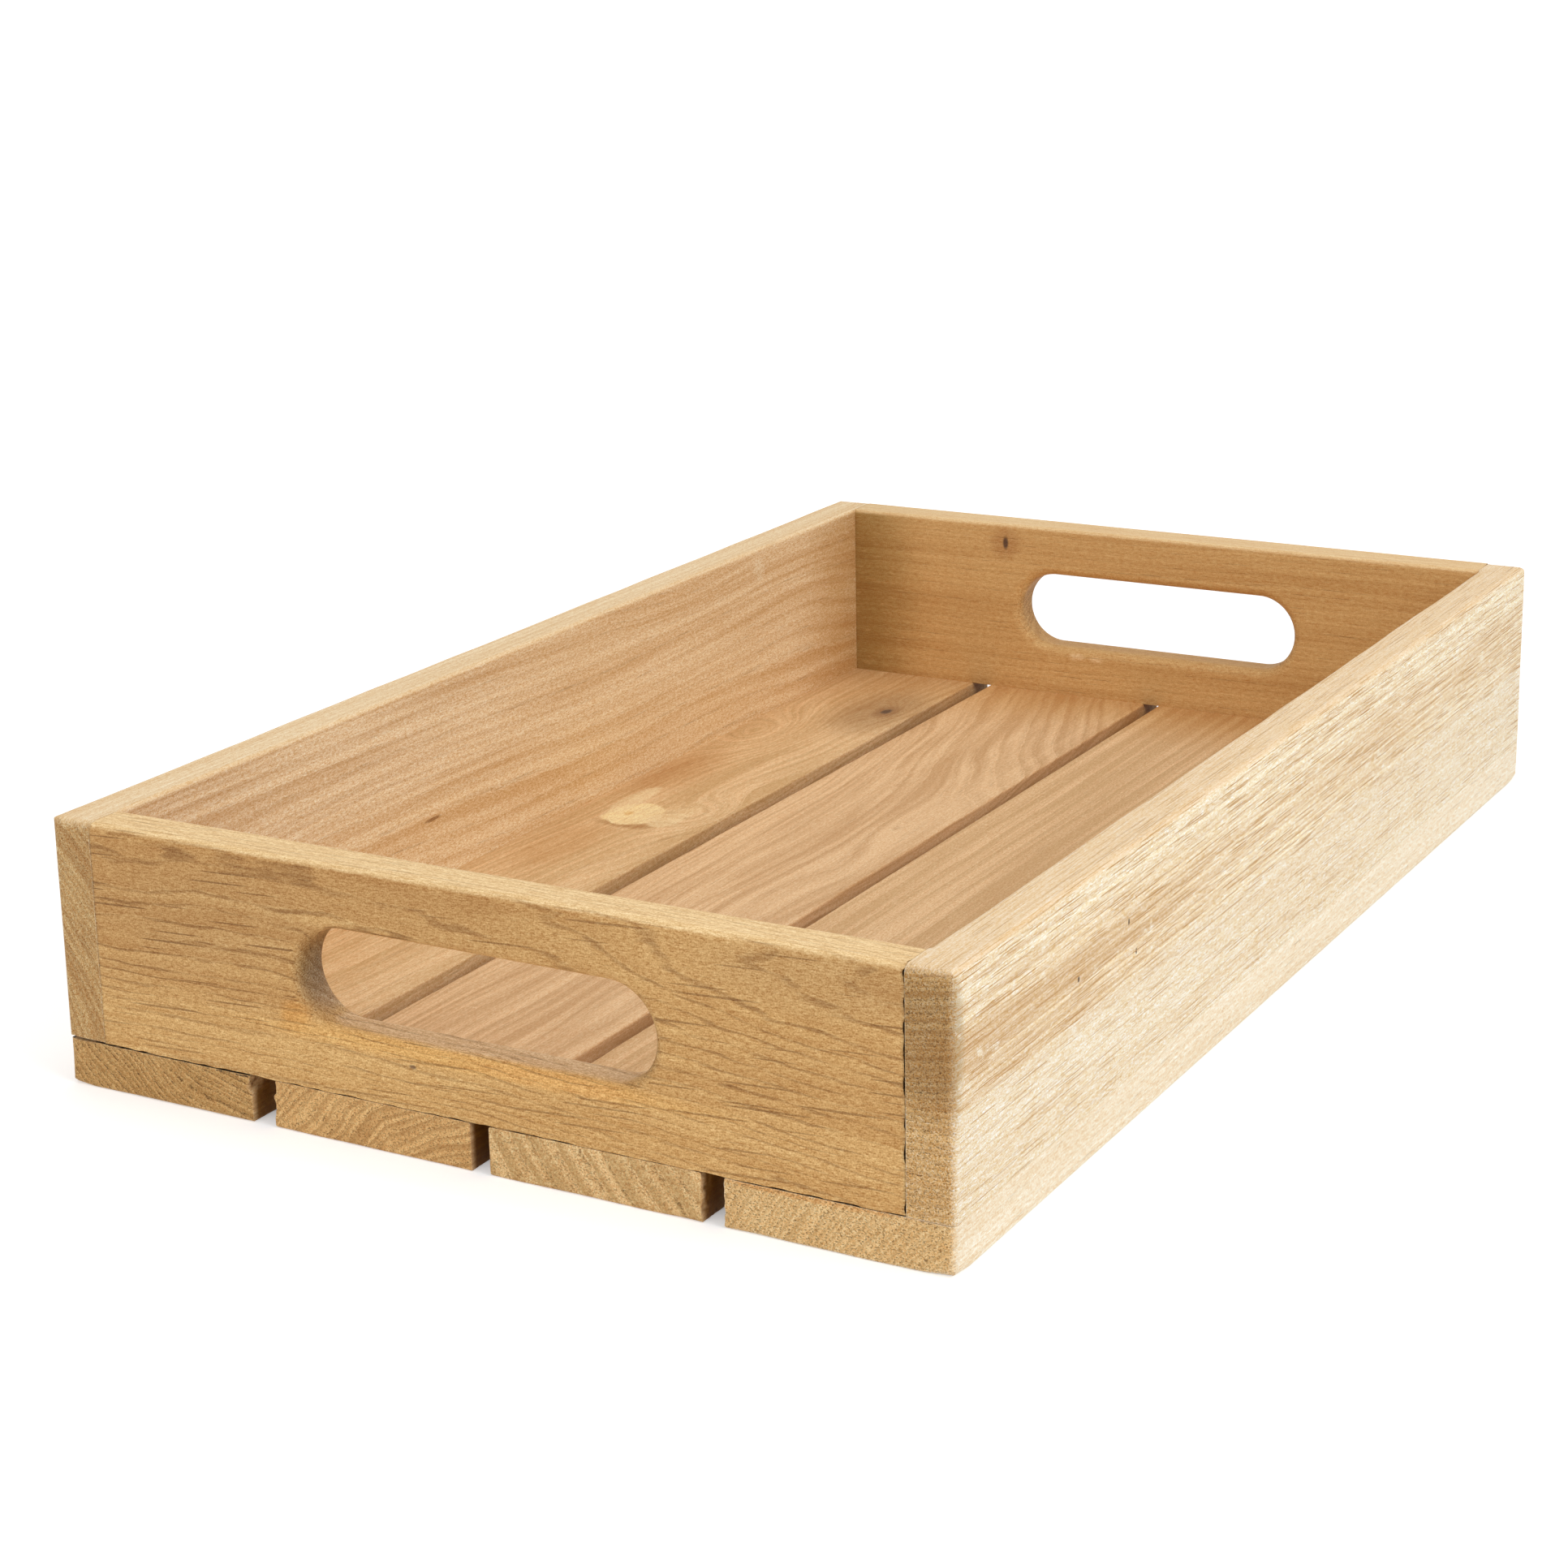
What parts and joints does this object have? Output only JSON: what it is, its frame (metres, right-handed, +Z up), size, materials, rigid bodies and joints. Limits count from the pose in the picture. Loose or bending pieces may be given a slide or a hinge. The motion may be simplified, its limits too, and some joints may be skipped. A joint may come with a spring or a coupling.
{
  "type": "slatted wooden tray",
  "caption": "Rectangular oak tray with low butt-jointed walls, a slatted floor and an oval hand slot in each end board.",
  "frame": {"origin": "middle of the footprint, on the surface that the floor slats stand on", "axes": "+X to the right along the width, +Y along the length towards the rear end board, +Z up"},
  "size_m": [0.24, 0.4, 0.068],
  "materials": {
    "side_oak": "sanded, bare",
    "end_oak": "sanded, bare",
    "slat_oak": "sanded faces, sawn edges and ends, bare",
    "beech_dowel": "smooth, bare",
    "zinc_screw": "zinc plated, dull"
  },
  "bodies": {
    "root": {"left_side_board": "side_oak", "right_side_board": "side_oak", "front_end_board": "end_oak", "rear_end_board": "end_oak", "floor_slat_1": "slat_oak", "floor_slat_2": "slat_oak", "floor_slat_3": "slat_oak", "floor_slat_4": "slat_oak", "front_left_dowels": "beech_dowel", "front_right_dowels": "beech_dowel", "rear_left_dowels": "beech_dowel", "rear_right_dowels": "beech_dowel", "front_slat_screws": "zinc_screw", "rear_slat_screws": "zinc_screw", "left_slat_screws": "zinc_screw", "right_slat_screws": "zinc_screw"}
  },
  "joints": []
}
